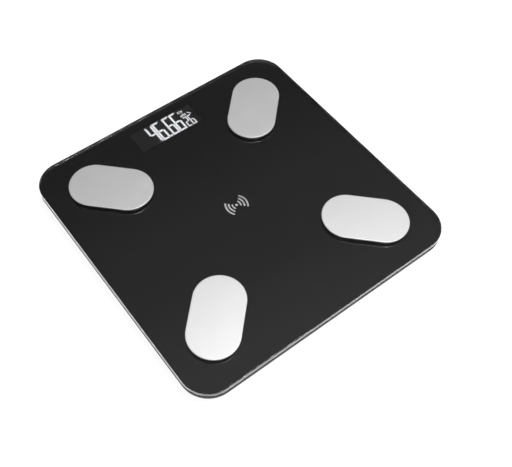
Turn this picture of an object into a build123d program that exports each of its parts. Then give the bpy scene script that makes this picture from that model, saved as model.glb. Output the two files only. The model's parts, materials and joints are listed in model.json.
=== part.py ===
from build123d import *
import os
from math import cos, pi, radians, sin, sqrt, tan

# Digital bathroom scale: a clear glass platform printed black underneath, four raised
# electrode pads, a hidden LED display, and a plastic base with a weighing foot at each corner.
# Millimetres. Origin: middle of the footprint, on the floor.
# +X is the user's right, +Y points to the display edge, +Z is up.

# ---- Making the solids ----
fuse = 0.1                   # overlap of two volumes joined into one solid
through = 1.0                # length of a cut past the face it opens

# ---- Platform ----
platform_side = 280.0        # glass, edge to edge
corner_radius = 26.8
glass_thickness = 5.0
glass_arris = 0.7            # ground bevel on the glass's two rims
print_thickness = 0.15       # black coating under the glass
print_inset = 1.0            # bare margin of glass outside the coating

# ---- Electrodes ----
pad_length = 79.8
pad_width = 47.2
pad_thickness = 1.3
pad_edge_radius = 0.55
pad_edge_distance = 56.5     # pad centre from each platform edge
pad_glue_thickness = 0.2
pad_glue_inset = 1.2
stud_radius = 1.5
stud_hole_clearance = 0.5
stud_overhang = 0.55         # stud end below its nut
washer_radius = 4.0
washer_thickness = 0.5
nut_across_flats = 5.5
nut_height = 2.4
thread_clearance = 0.05
tag_thickness = 0.5
tag_ring_radius = 3.4
tag_reach = 10.0             # stud axis to the end of the crimp barrel
tag_width = 2.6
barrel_radius = 1.3
barrel_bore = 0.8
barrel_length = 4.0
back_tag_turn = 30.0         # back tags point this far round from sideways
barrel_gap = 0.05            # crimp barrel below the coating

# ---- Base housing ----
rim_height = 4.65            # upright band flush with the glass
base_bottom = 6.0            # height of the flat underside
base_inset = 12.0            # underside edge inboard of the rim
wall = 2.2
rim_wall = 2.4
floor_thickness = 2.2
tape_thickness = 0.8
tape_inset = 3.0             # tape's outer edge from the platform edge
tape_width = 6.0
tape_rib_width = 1.6
web_thickness = 1.6
web_pitch = 34.0
floor_rib_height = 1.5
floor_rib_width = 1.4
floor_rib_edge_gap = 14.0    # ends of the long ribs, from the sides of the cavity floor

# ---- Feet and load cells ----
foot_edge_distance = 36.0    # foot centre from each platform edge
foot_lip = 2.5               # foot's rim beyond its hole in the underside
foot_flange_gap = 0.8        # foot's flange to the underside, when loaded
foot_pad_margin = 3.0        # bare rim of the foot round its rubber pad
foot_pad_height = 2.5
foot_pad_recess = 1.0
foot_pad_edge = 0.5
foot_pad_gap = 0.1
tread_groove_radius = 9.0
tread_groove_width = 1.4
tread_groove_depth = 0.6
foot_hole_margin = 0.5       # hole's radius beyond half the load cell's side
foot_hook_gap = 0.35         # hook's back to the hole
foot_hook_thickness = 1.4
foot_hook_angle = 20.0
foot_barb = 0.9              # barb's reach over the floor
foot_barb_height = 1.2
foot_chamfer = 0.5
foot_drop = 0.6              # play of a foot when the scale is lifted
foot_drop_margin = 0.15
foot_post_radius = 4.0
foot_post_gap = 0.1          # post's top to the load cell's tongue
cell_side = 34.0
cell_thickness = 1.5
cell_hook_gap = 0.25         # load cell above the foot's hooks
cell_corner = 2.0
cell_gap = 0.2
cell_window = 23.0
cell_tongue_width = 13.0
cell_tongue_slot = 3.0
seat_wall = 1.6
seat_ledge_gap = 0.8         # between a hook's barb and the seat's ledges
gauge_size = (6.0, 4.0)
gauge_thickness = 0.2
sealant_size = (9.0, 8.0)
sealant_height = 4.6
sealant_corner = 1.5
sealant_edge = 0.8

# ---- Battery bay, for three AAA cells side by side ----
battery_radius = 5.25
battery_length = 44.5
battery_nub_radius = 1.9
battery_nub_length = 0.9
battery_edge_radius = 0.5
battery_gap = 0.5            # between neighbours
battery_count = 3
battery_door_gap = 0.3       # batteries above the door
bay_centre_y = 22.0
bay_wall = 1.6
bay_roof = 0.9
bay_roof_gap = 0.25          # roof below the coating
battery_roof_gap = 0.1
spring_room = 3.2
plate_room = 0.8
contact_thickness = 0.4
contact_size = 8.0
contact_slot_gap = 0.1
spring_leaf_angle = 30.0
spring_leaf_margin = 1.5     # leaf's sides inboard of its plate's
contact_bridge_height = 3.0
contact_tag_reach = 2.4
contact_tag_width = 3.0

# ---- Battery door ----
door_thickness = 1.8
door_gap = 0.3
door_margin = 1.0            # opening beyond the bay's inside, at its ends
door_stop_gap = 0.2
hinge_radius = 1.4
hinge_pin_radius = 0.8
hinge_pin_clearance = 0.05
hinge_pin_length = 2.0
hinge_pin_end_gap = 0.2
hinge_ear_width = 3.4
hinge_ear_cover = 1.4        # ear's thickness over the pin
hinge_ear_margin = 0.5       # ear beyond the door's barrel, front and back
latch_width = 14.0
latch_thickness = 0.9
latch_span = 3.4             # between the two outer faces of the folded latch
latch_height = 4.4
latch_wall_gap = 0.7
latch_edge_gap = 0.5
latch_nub_inset = 2.0        # nub's ends inboard of the latch's
latch_nub_rise = 0.2         # nub above the housing's floor
latch_nub_height = 0.8
door_grip_width = 1.0
door_grip_depth = 0.35
door_grip_count = 4
door_grip_setback = 2.0      # first grip groove in front of the latch
opening_height = 5.0         # clear height cut above the floor, over the door

# ---- Unit button ----
button_position = (42.0, -26.0)   # from the platform's centre line, and from the display's centre
button_radius = 4.0
button_gap = 0.3
button_recess = 0.2
button_edge_radius = 0.4
button_flange_radius = 5.2
button_flange_height = 0.7
button_flange_gap = 0.2
switch_size = 6.0
switch_height = 2.0
plunger_radius = 1.75
plunger_gap = 0.1
plunger_reach = 0.35         # plunger below the switch's body
plunger_depth = 0.9          # plunger inside the switch's body
plunger_room = 0.5
plunger_rest_gap = 0.05      # plunger's tip to the button

# ---- Main board ----
board_width = 112.0
board_depth = 46.0
board_thickness = 1.6
board_front_gap = 32.0       # board's front edge to the display's centre
board_corner = 1.5
boss_radius = 3.0
boss_hole_radius = 0.9
boss_hole_depth = 0.5        # below the housing's floor
boss_edge_distance = 4.0
screw_head_radius = 1.9
screw_head_height = 1.4
screw_head_edge = 0.5
screw_shank_radius = 0.85
screw_length = 4.0
screw_hole_radius = 1.2
screw_slot_width = 0.4
screw_slot_depth = 0.6
screw_slot_margin = 0.5      # slot's ends to the head's rim
connector_size = (9.0, 6.0)
connector_top_gap = 1.15     # connector's top below the coating
connector_edge_gap = 0.5     # connector's mouth inside the board's edge
cell_plug_offset = 40.0
pad_plug_offset = 24.0
cell_plug_setback = 20.0
pad_plug_setback = 10.0
processor_size = (7.0, 7.0, 1.5)
radio_size = (14.0, 12.0, 0.8)
radio_shield_height = 1.6
radio_aerial_depth = 4.0
radio_shield_inset = 1.0
processor_legs = 3           # legs each side of the middle one
processor_leg_pitch = 0.8
processor_leg_size = (1.0, 0.4, 0.3)
processor_leg_reach = 0.8    # beyond the chip's side
chip_offset = 12.0           # processor and radio module, either side of the board's centre line
chip_setback = 11.0          # and behind its front edge
chip_part_size = (2.0, 1.2, 0.8)
chip_part_rows = (4.0, 8.0, 12.0, 16.0)
chip_part_offset = 32.0

# ---- Display ----
window_width = 70.0
window_depth = 26.0
window_edge_distance = 24.0  # window centre from the back edge
reflector_gap = 0.55         # reflector's face below the coating
segment_depth = 1.6
segment_proud = 0.1
segment_split = 0.1          # half of the gap between neighbouring segments
digit_width = 8.0
digit_height = 24.1
digit_stroke = 1.95
digit_gap = 0.45
first_digit_margin = 7.6     # window's left edge to the first large digit
digit_text = (" ", "4", "6", "6", "6")
point_after = 3              # the decimal point follows this many digits
point_size = 2.1
point_gap = 0.5
small_width = 4.6
small_height = 13.2
small_stroke = 1.15
small_gap = 0.7
small_margin = 1.9           # last large digit to the first small one
small_text = ("2", "6")
icon_gap = 1.3               # small digits to the icons above them
gauge_icon_size = (4.6, 2.4)
gauge_icon_wall = 0.5
gauge_icon_tip = (0.6, 1.2)
gauge_icon_rise = 5.4        # gauge above the level bars' feet
level_icon_width = 0.9
level_icon_pitch = 1.7
level_icon_heights = (2.0, 2.8, 3.4, 2.6)
tick_icon_size = (4.4, 0.8)
tick_icon_angle = -50.0
tick_icon_place = (9.9, 0.8) # from the left end of the level bars' feet

# ---- Wireless mark in the middle of the platform ----
mark_dot_radius = 1.3
mark_stroke = 1.6
mark_centre_shift = 1.8      # arcs' common centre, on the far side of the dot
mark_arcs = ((3.8, 24.5), (7.0, 32.0), (10.2, 35.5))    # distance from the dot, half angle

# ---- Leads ----
cell_lead_radius = 1.2
thin_lead_radius = 0.75
cell_lead_rise = 2.5         # axis of a load cell's lead above the cell
pad_lead_drop = 1.8          # fall of an electrode lead from its tag to its plug
battery_lead_spread = 1.5
lead_entry = 2.0             # length of a lead inside its plug
lead_entry_gap = 0.05
bend_share = 0.45            # share of the shorter run that a bend may take
minimum_bend = 5.0           # smallest bend radius, in diameters
lead_entry_room = 0.4        # depth of a plug's entry past the lead's end
front_cell_run = 33.0        # straight run of a front load cell's lead
front_cell_knee = (72.0, -10.0)
front_cell_turn = (66.0, 39.0)      # from the centre line, and in front of the board
front_cell_approach = 24.0
back_cell_run = 9.0          # straight run at either end of a back load cell's lead
back_cell_sag = 2.5
front_pad_run = 30.0
front_pad_knee = (62.0, 0.0)
front_pad_turn = (56.0, 44.0)
front_pad_rises = (0.6, 0.4) # over the plug's entry, at the knee and at the turn
front_pad_approach = 20.0
back_pad_run = 7.0
battery_lead_run = 17.0      # from the last battery's axis to the lead's turn
battery_lead_lean = 1.0
battery_lead_detour = (3.0, 8.0)    # of the lead that starts at the first battery
battery_lead_approach = 19.0

# ---- Derived sizes of the feet ----
foot_hole_radius = cell_side / 2 + foot_hole_margin
foot_radius = foot_hole_radius + foot_lip
foot_pad_radius = foot_radius - foot_pad_margin
seat_ledge_radius = foot_hole_radius + foot_barb + seat_ledge_gap

# ---- Derived heights: the batteries set the glass's height, and the button's switch sets the board's ----
door_top = base_bottom + door_thickness
battery_height = door_top + battery_door_gap + battery_radius
bay_roof_bottom = battery_height + battery_radius + battery_roof_gap
bay_roof_top = bay_roof_bottom + bay_roof
housing_top = bay_roof_top + bay_roof_gap
glass_bottom = housing_top + print_thickness
glass_top = glass_bottom + glass_thickness
pad_bottom = glass_top + pad_glue_thickness
rim_bottom = housing_top - rim_height
floor_top = base_bottom + floor_thickness
tape_bottom = housing_top - tape_thickness
washer_bottom = housing_top - washer_thickness
tag_bottom = washer_bottom - tag_thickness
nut_bottom = tag_bottom - nut_height
stud_end = nut_bottom - stud_overhang
barrel_height = housing_top - barrel_radius - barrel_gap
foot_barb_bottom = floor_top + foot_drop + foot_drop_margin
foot_barb_top = foot_barb_bottom + foot_barb_height
cell_height = foot_barb_top + cell_hook_gap
cell_top = cell_height + cell_thickness
flange_bottom = floor_top + button_flange_gap
plunger_bottom = flange_bottom + button_flange_height + plunger_rest_gap
switch_bottom = plunger_bottom + plunger_reach
board_bottom = switch_bottom + switch_height
board_top = board_bottom + board_thickness
reflector_top = housing_top - reflector_gap
battery_lead_height = battery_height + contact_thickness / 2 + thin_lead_radius
hinge_height = base_bottom + hinge_radius
connector_top = housing_top - connector_top_gap
cell_lead_height = cell_top + cell_lead_rise
pad_lead_end = barrel_height - pad_lead_drop

# ---- Derived places ----
half_side = platform_side / 2
pad_offset = half_side - pad_edge_distance
foot_offset = half_side - foot_edge_distance
display_y = half_side - window_edge_distance
board_front = display_y - board_front_gap
board_centre_y = board_front + board_depth / 2
taper = base_inset / (rim_bottom - base_bottom)     # sideways run of the sloping wall, per unit of drop
skew_wall = wall * sqrt(1 + taper**2)               # the sloping wall's thickness, measured level
battery_pitch = 2 * battery_radius + battery_gap
bay_length = battery_length + spring_room + plate_room
bay_width = battery_pitch * battery_count + contact_slot_gap * 2
bay_front = bay_centre_y - bay_width / 2
bay_back = bay_centre_y + bay_width / 2
hinge_y = bay_front - bay_wall - hinge_radius - door_gap
door_side = bay_length / 2 + door_margin - door_gap
latch_front = bay_back + bay_wall + latch_wall_gap
door_back = latch_front + latch_span
opening_front = hinge_y - hinge_radius - door_gap
opening_back = door_back + latch_edge_gap
opening_side = bay_length / 2 + door_margin
cell_lead_start = cell_window / 2 + sealant_size[0] / 2 - gauge_size[0] / 2
button_x = button_position[0]
button_y = display_y + button_position[1]

corners = {"front_left": (-1, -1), "front_right": (1, -1), "back_left": (-1, 1), "back_right": (1, 1)}


# ---- Helpers ----
def slab(outline, bottom, top):
    return extrude(Pos(0, 0, bottom) * outline, top - bottom, dir=(0, 0, 1))


def block(x, y, width, depth, bottom, top):
    return Pos(x, y, (bottom + top) / 2) * Box(width, depth, top - bottom)


def disc(x, y, radius, bottom, top):
    return Pos(x, y, (bottom + top) / 2) * Cylinder(radius, top - bottom)


def square_outline(inset):
    return RectangleRounded(platform_side - 2 * inset, platform_side - 2 * inset, corner_radius - inset)


def outline_at(inset, height):
    return Pos(0, 0, height) * square_outline(inset)


def group(pieces):
    return Compound(children=list(pieces))


def save(name, shape):
    shape.label = name
    export_step(shape, os.path.join("parts", name + ".step"))


# ---- Platform pieces ----
def pad_outline(x_sign, y_sign, inset=0.0):
    turn = 45 if x_sign == y_sign else 135
    outline = SlotOverall(pad_length - 2 * inset, pad_width - 2 * inset, rotation=turn)
    return Pos(x_sign * pad_offset, y_sign * pad_offset) * outline


def stud_places():
    return [(x * pad_offset, y * pad_offset) for x, y in corners.values()]


def cut_stud_holes(plate, radius, bottom, top):
    for x, y in stud_places():
        plate -= disc(x, y, radius, bottom - through, top + through)
    return plate


def make_glass():
    plate = slab(square_outline(0), glass_bottom, glass_top)
    rims = plate.faces().sort_by(Axis.Z)[-1].edges() + plate.faces().sort_by(Axis.Z)[0].edges()
    plate = chamfer(rims, glass_arris)
    return cut_stud_holes(plate, stud_radius + stud_hole_clearance, glass_bottom, glass_top)


def mark_arc(distance, half_angle, side):
    radius = distance + mark_centre_shift
    facing = 0 if side > 0 else 180
    spine = CenterArc((-side * mark_centre_shift, 0), radius, facing - half_angle, 2 * half_angle)
    return SlotArc(spine, mark_stroke)


def mark_outlines():
    arcs = [mark_arc(distance, angle, side) for distance, angle in mark_arcs for side in (-1, 1)]
    return [Circle(mark_dot_radius)] + arcs


def make_wireless_mark():
    return group(slab(outline, housing_top, glass_bottom) for outline in mark_outlines())


def window_outline():
    return Pos(0, display_y) * Rectangle(window_width, window_depth)


def make_back_print():
    film = slab(square_outline(print_inset), housing_top, glass_bottom)
    film -= slab(window_outline(), housing_top - through, glass_bottom + through)
    for outline in mark_outlines():
        film -= slab(outline, housing_top - through, glass_bottom + through)
    return cut_stud_holes(film, stud_radius + stud_hole_clearance, housing_top, glass_bottom)


def make_display_window():
    return slab(window_outline(), housing_top, glass_bottom)


def make_electrode(x_sign, y_sign):
    plate = slab(pad_outline(x_sign, y_sign), pad_bottom, pad_bottom + pad_thickness)
    plate = fillet(plate.faces().sort_by(Axis.Z)[-1].edges(), pad_edge_radius)
    return plate + disc(x_sign * pad_offset, y_sign * pad_offset, stud_radius, stud_end, pad_bottom + fuse)


def make_pad_glue(x_sign, y_sign):
    layer = slab(pad_outline(x_sign, y_sign, pad_glue_inset), glass_top, pad_bottom)
    return cut_stud_holes(layer, stud_radius + stud_hole_clearance, glass_top, pad_bottom)


# ---- Electrode fasteners, below the glass ----
def make_washer(x, y):
    ring = disc(x, y, washer_radius, washer_bottom, housing_top)
    return ring - disc(x, y, stud_radius + thread_clearance, washer_bottom - through, housing_top + through)


def tag_heading(x_sign, y_sign):
    if y_sign < 0:
        return 90
    return 180 - back_tag_turn if x_sign > 0 else back_tag_turn


def make_solder_tag(x_sign, y_sign):
    ring = disc(0, 0, tag_ring_radius, tag_bottom, washer_bottom)
    tail = block(tag_reach / 2, 0, tag_reach, tag_width, tag_bottom, washer_bottom)
    barrel_middle = tag_reach - barrel_length / 2
    place = Pos(barrel_middle, 0, barrel_height) * Rot(0, 90, 0)
    tag = ring + tail + place * Cylinder(barrel_radius, barrel_length)
    tag -= place * Cylinder(barrel_bore, barrel_length + 2 * through)
    tag -= disc(0, 0, stud_radius + thread_clearance, tag_bottom - through, washer_bottom + through)
    return Pos(x_sign * pad_offset, y_sign * pad_offset) * Rot(0, 0, tag_heading(x_sign, y_sign)) * tag


def make_nut(x, y):
    hexagon = Pos(x, y) * RegularPolygon(nut_across_flats / 2, 6, major_radius=False)
    bore = disc(x, y, stud_radius + thread_clearance, nut_bottom - through, tag_bottom + through)
    return slab(hexagon, nut_bottom, tag_bottom) - bore


# ---- Base housing ----
def housing_body():
    band = slab(square_outline(0), rim_bottom, housing_top)
    slope = loft([outline_at(base_inset, base_bottom), outline_at(0, rim_bottom)], ruled=True)
    return band + slope


def housing_cavity():
    knee = rim_bottom + (skew_wall - rim_wall) / taper
    floor_inset = skew_wall + taper * (rim_bottom - floor_top)
    upper = slab(square_outline(rim_wall), knee, housing_top + through)
    lower = loft([outline_at(floor_inset, floor_top), outline_at(rim_wall, knee)], ruled=True)
    return upper + lower


def tape_rib():
    outer = tape_inset + tape_width - tape_rib_width
    ring = square_outline(outer) - square_outline(outer + tape_rib_width)
    return slab(ring, base_bottom, tape_bottom)


def tape_webs():
    run = half_side - corner_radius
    count = int(run / web_pitch)
    reach = tape_inset + tape_width - tape_rib_width / 2
    web = block(-reach / 2, 0, reach, web_thickness, base_bottom, tape_bottom)
    diagonal = sqrt(2) * run + corner_radius
    webs = []
    for turn in range(4):
        for step in range(-count, count + 1):
            webs.append(Rot(0, 0, 90 * turn) * Pos(half_side, step * run / count) * web)
        webs.append(Rot(0, 0, 45 + 90 * turn) * Pos(diagonal) * web)
    return webs


def floor_ribs():
    lane = foot_offset - cell_side / 2 - seat_wall - floor_rib_edge_gap
    reach = 2 * (half_side - base_inset - floor_rib_edge_gap)
    top = floor_top + floor_rib_height
    across = [block(0, y, reach, floor_rib_width, base_bottom, top) for y in (-lane, -lane / 2)]
    along = [block(x, 0, floor_rib_width, reach, base_bottom, top) for x in (-lane, lane)]
    return across + along


def cell_seat():
    inner = cell_side + 2 * cell_gap
    outer = inner + 2 * seat_wall
    walls = Rectangle(outer, outer) - Rectangle(inner, inner)
    ledges = Rectangle(inner, inner) - Circle(seat_ledge_radius)
    return slab(walls, base_bottom, cell_top) + slab(ledges, base_bottom, cell_height)


def battery_bay():
    shell = block(0, bay_centre_y, bay_length + 2 * bay_wall, bay_width + 2 * bay_wall,
                  door_top + door_stop_gap, bay_roof_top)
    return shell - block(0, bay_centre_y, bay_length, bay_width, base_bottom, bay_roof_bottom)


def hinge_ears():
    middle = opening_side + hinge_ear_width / 2
    depth = 2 * (hinge_radius + hinge_ear_margin)
    top = hinge_height + hinge_pin_radius + hinge_ear_cover
    return [block(x * middle, hinge_y, hinge_ear_width, depth, base_bottom, top) for x in (-1, 1)]


def hinge_bores():
    length = opening_side + hinge_pin_length + hinge_pin_end_gap
    bore = Cylinder(hinge_pin_radius + hinge_pin_clearance, 2 * length)
    return Pos(0, hinge_y, hinge_height) * Rot(0, 90, 0) * bore


def boss_places():
    side = board_width / 2 - boss_edge_distance
    front = board_front + boss_edge_distance
    back = board_front + board_depth - boss_edge_distance
    return [(x * side, y) for x in (-1, 1) for y in (front, back)]


def contact_slots():
    slots = []
    for side, y in ((1, battery_y(2)), (-1, battery_y(0))):
        slots.append(block(side * (bay_length / 2 + bay_wall / 2), y, bay_wall + through,
                           contact_tag_width + 2 * contact_slot_gap,
                           battery_height - contact_thickness / 2 - contact_slot_gap,
                           battery_height + contact_thickness / 2 + contact_slot_gap))
    return slots


def make_base_housing():
    body = housing_body()
    shell = body - housing_cavity()
    opening_depth = opening_back - opening_front
    opening_middle = (opening_back + opening_front) / 2
    inner = [tape_rib()] + tape_webs() + floor_ribs()
    for x, y in boss_places():
        inner.append(disc(x, y, boss_radius, base_bottom, board_bottom))
    for x_sign, y_sign in corners.values():
        inner.append(Pos(x_sign * foot_offset, y_sign * foot_offset) * cell_seat())
    inner += hinge_ears()
    shell += [piece & body for piece in inner]
    shell -= block(0, opening_middle, 2 * opening_side, opening_depth,
                   base_bottom - through, floor_top + opening_height)
    shell += battery_bay()
    shell -= hinge_bores()
    shell -= contact_slots()
    foot_hole = disc(0, 0, foot_hole_radius, base_bottom - through, cell_height)
    for x_sign, y_sign in corners.values():
        shell -= Pos(x_sign * foot_offset, y_sign * foot_offset) * foot_hole
    for x, y in boss_places():
        shell -= disc(x, y, boss_hole_radius, floor_top - boss_hole_depth, board_bottom + through)
    shell -= disc(button_x, button_y, button_radius + button_gap, base_bottom - through, floor_top + through)
    return shell


def make_mounting_tape():
    ring = square_outline(tape_inset) - square_outline(tape_inset + tape_width)
    return slab(ring, tape_bottom, housing_top)


# ---- Feet ----
def hook_ring(bottom, top, outer_radius):
    outer = foot_hole_radius - foot_hook_gap
    hook = slab(Circle(outer_radius) - Circle(outer - foot_hook_thickness), bottom, top)
    sector = slab(wedge(foot_hook_angle, 2 * foot_radius), bottom - through, top + through)
    return hook & sector


def wedge(angle, reach):
    across = reach * cos(radians(angle / 2))
    aside = reach * sin(radians(angle / 2))
    return Polygon((0, 0), (across, -aside), (across, aside), align=None)


def foot_hooks(flange_top):
    leg = hook_ring(flange_top - fuse, foot_barb_top, foot_hole_radius - foot_hook_gap)
    barb = hook_ring(foot_barb_bottom, foot_barb_top, foot_hole_radius + foot_barb)
    hook = leg + barb
    return [Rot(0, 0, 45 + 90 * turn) * hook for turn in range(4)]


def make_foot_cap(x, y):
    flange_top = base_bottom - foot_flange_gap
    cap_bottom = foot_pad_height - foot_pad_recess
    cap = disc(0, 0, foot_radius, cap_bottom, flange_top)
    cap = chamfer(cap.faces().sort_by(Axis.Z)[0].edges(), foot_chamfer)
    cap -= disc(0, 0, foot_pad_radius + foot_pad_gap, cap_bottom - through, foot_pad_height)
    cap += disc(0, 0, foot_post_radius, flange_top - fuse, cell_height - foot_post_gap)
    cap += foot_hooks(flange_top)
    return Pos(x, y) * cap


def make_foot_pad(x, y):
    pad = disc(0, 0, foot_pad_radius, 0, foot_pad_height)
    pad = fillet(pad.faces().sort_by(Axis.Z)[0].edges(), foot_pad_edge)
    groove = Circle(tread_groove_radius + tread_groove_width) - Circle(tread_groove_radius)
    pad -= slab(groove, -through, tread_groove_depth)
    return Pos(x, y) * pad


# ---- Load cells ----
def cell_heading(x_sign, y_sign):
    # A front cell's lead leaves towards the back, and a back cell's leaves towards the middle.
    if y_sign < 0:
        return 90
    return 180 if x_sign > 0 else 0


def cell_place(x_sign, y_sign):
    return Pos(x_sign * foot_offset, y_sign * foot_offset) * Rot(0, 0, cell_heading(x_sign, y_sign))


def make_load_cell(x_sign, y_sign):
    frame = RectangleRounded(cell_side, cell_side, cell_corner)
    frame -= Rectangle(cell_window, cell_window)
    tongue_length = cell_window - cell_tongue_slot
    frame += Pos(cell_window / 2 - tongue_length / 2) * Rectangle(tongue_length, cell_tongue_width)
    return cell_place(x_sign, y_sign) * slab(frame, cell_height, cell_top)


def gauge_x():
    return cell_window / 2 - gauge_size[0] / 2


def make_strain_gauge(x_sign, y_sign):
    gauge = block(gauge_x(), 0, *gauge_size, cell_top, cell_top + gauge_thickness)
    return cell_place(x_sign, y_sign) * gauge


def make_sealant(x_sign, y_sign):
    bead = block(gauge_x(), 0, *sealant_size, cell_top, cell_top + sealant_height)
    bead = fillet(bead.edges().filter_by(Axis.Z), sealant_corner)
    bead = fillet(bead.faces().sort_by(Axis.Z)[-1].edges(), sealant_edge)
    bead -= block(gauge_x(), 0, *gauge_size, cell_top - through, cell_top + gauge_thickness)
    return cell_place(x_sign, y_sign) * bead


# ---- Batteries, contacts and door ----
def battery_y(index):
    return bay_centre_y + (index - (battery_count - 1) / 2) * battery_pitch


def positive_side(index):
    return 1 if index % 2 == 0 else -1


def make_battery(index):
    body_length = battery_length - battery_nub_length
    body = Cylinder(battery_radius, body_length)
    body = fillet(body.edges().filter_by(GeomType.CIRCLE), battery_edge_radius)
    nub = disc(0, 0, battery_nub_radius, body_length / 2, body_length / 2 + battery_nub_length)
    tip = bay_length / 2 - plate_room
    cell = Pos(0, 0, tip - battery_nub_length - body_length / 2) * (body + nub)
    turn = Rot(0, 90, 0) if positive_side(index) > 0 else Rot(0, -90, 0)
    return Pos(0, battery_y(index), battery_height) * turn * cell


def contact_plate(side, y):
    x = side * (bay_length / 2 - contact_thickness / 2)
    low = battery_height - contact_size / 2
    return block(x, y, contact_thickness, contact_size, low, low + contact_size)


def contact_spring(side, y):
    # A leaf bent out of its plate, which presses the battery's flat end.
    inner = bay_length / 2 - contact_thickness
    leaf_length = (spring_room - 2 * contact_thickness) / sin(radians(spring_leaf_angle))
    low = battery_height - leaf_length * cos(radians(spring_leaf_angle)) / 2
    leaf_width = contact_size - 2 * spring_leaf_margin
    leaf = Box(contact_thickness, leaf_width, leaf_length, align=(Align.MAX, Align.CENTER, Align.MIN))
    leaf = Pos(inner + contact_thickness / 2, 0, low) * Rot(0, -spring_leaf_angle, 0) * leaf
    return Pos(0, y) * (leaf if side > 0 else mirror(leaf, about=Plane.YZ)) + contact_plate(side, y)


def make_contact_bridge(side, first, second):
    x = side * (bay_length / 2 - contact_thickness / 2)
    middle = (battery_y(first) + battery_y(second)) / 2
    low = battery_height + contact_size / 2 - contact_bridge_height
    link = block(x, middle, contact_thickness, battery_pitch, low, low + contact_bridge_height)
    plate = contact_plate(side, battery_y(first if positive_side(first) == side else second))
    spring = contact_spring(side, battery_y(second if positive_side(first) == side else first))
    return plate + spring + link


def contact_tag(side, y):
    start = bay_length / 2 - contact_thickness
    end = bay_length / 2 + bay_wall + contact_tag_reach
    return block(side * (start + end) / 2, y, end - start, contact_tag_width,
                 battery_height - contact_thickness / 2, battery_height + contact_thickness / 2)


def make_positive_contact():
    return contact_plate(1, battery_y(2)) + contact_tag(1, battery_y(2))


def make_negative_contact():
    return contact_spring(-1, battery_y(0)) + contact_tag(-1, battery_y(0))


def door_latch():
    # A strip folded upwards and back down behind the bay, with its outer leg free to be squeezed.
    top = hinge_height + latch_height
    inner_y = latch_front + latch_thickness / 2
    inner_leg = block(0, inner_y, latch_width, latch_thickness, door_top - fuse, top)
    bridge = block(0, latch_front + latch_span / 2, latch_width, latch_span, top - latch_thickness, top)
    outer_leg = block(0, door_back - latch_thickness / 2, latch_width, latch_thickness, base_bottom, top)
    nub_bottom = floor_top + latch_nub_rise
    nub = block(0, door_back + latch_edge_gap / 4, latch_width - 2 * latch_nub_inset, latch_edge_gap / 2,
                nub_bottom, nub_bottom + latch_nub_height)
    return [inner_leg, bridge, outer_leg, nub]


def make_battery_door():
    depth = latch_front + latch_thickness - hinge_y
    plate = block(0, hinge_y + depth / 2, 2 * door_side, depth, base_bottom, door_top)
    wing_depth = door_back - hinge_y
    wing_width = door_side - latch_width / 2 - door_gap
    for side in (-1, 1):
        plate += block(side * (door_side - wing_width / 2), hinge_y + wing_depth / 2, wing_width, wing_depth,
                       base_bottom, door_top)
    barrel = Pos(0, hinge_y, hinge_height) * Rot(0, 90, 0) * Cylinder(hinge_radius, 2 * door_side)
    pin_span = 2 * (opening_side + hinge_pin_length)
    pins = Pos(0, hinge_y, hinge_height) * Rot(0, 90, 0) * Cylinder(hinge_pin_radius, pin_span)
    door = plate + barrel + pins + door_latch()
    grip_top = base_bottom + door_grip_depth
    for step in range(door_grip_count):
        y = latch_front - door_grip_setback - 2 * step * door_grip_width
        door -= block(0, y, latch_width, door_grip_width, base_bottom - through, grip_top)
    return door


# ---- Unit button ----
def make_unit_button():
    cap = disc(button_x, button_y, button_radius, base_bottom + button_recess, flange_bottom + fuse)
    cap = fillet(cap.faces().sort_by(Axis.Z)[0].edges(), button_edge_radius)
    flange_top = flange_bottom + button_flange_height
    return cap + disc(button_x, button_y, button_flange_radius, flange_bottom, flange_top)


def make_switch_plunger():
    return disc(button_x, button_y, plunger_radius, plunger_bottom, switch_bottom + plunger_depth)


def make_tact_switch():
    body = block(button_x, button_y, switch_size, switch_size, switch_bottom, board_bottom)
    bore_top = switch_bottom + plunger_depth + plunger_room
    return body - disc(button_x, button_y, plunger_radius + plunger_gap, switch_bottom - through, bore_top)


# ---- Main board ----
def make_main_board():
    outline = Pos(0, board_centre_y) * RectangleRounded(board_width, board_depth, board_corner)
    board = slab(outline, board_bottom, board_top)
    for x, y in boss_places():
        board -= disc(x, y, screw_hole_radius, board_bottom - through, board_top + through)
    return board


def make_board_screw(x, y):
    head_top = board_top + screw_head_height
    head = disc(x, y, screw_head_radius, board_top, head_top)
    head = fillet(head.faces().sort_by(Axis.Z)[-1].edges(), screw_head_edge)
    screw = head + disc(x, y, screw_shank_radius, board_top - screw_length, board_top + fuse)
    slot_length = 2 * (screw_head_radius - screw_slot_margin)
    slot_bottom = head_top - screw_slot_depth
    screw -= block(x, y, screw_slot_width, slot_length, slot_bottom, head_top + through)
    return screw - block(x, y, slot_length, screw_slot_width, slot_bottom, head_top + through)


def edge_connector(x, y, heading, lead_height, openings):
    # A box whose mouth faces its lead, with one round entry for each wire.
    length, width = connector_size
    body = block(-length / 2, 0, length, width, board_top, connector_top)
    for offset, radius in openings:
        entry = Cylinder(radius, 2 * (lead_entry + lead_entry_room / 2))
        body -= Pos(0, offset, lead_height) * Rot(0, 90, 0) * entry
    return Pos(x, y) * Rot(0, 0, heading) * body


def plug_place(x_sign, y_sign, front_offset, side_setback):
    # Leads of the front corners plug into the board's front edge, and the others into its sides.
    if y_sign < 0:
        return (x_sign * front_offset, board_front + connector_edge_gap, -90)
    side = board_width / 2 - connector_edge_gap
    return (x_sign * side, board_front + side_setback, 0 if x_sign > 0 else 180)


def cell_plug_place(x_sign, y_sign):
    return plug_place(x_sign, y_sign, cell_plug_offset, cell_plug_setback)


def pad_plug_place(x_sign, y_sign):
    return plug_place(x_sign, y_sign, pad_plug_offset, pad_plug_setback)


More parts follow.
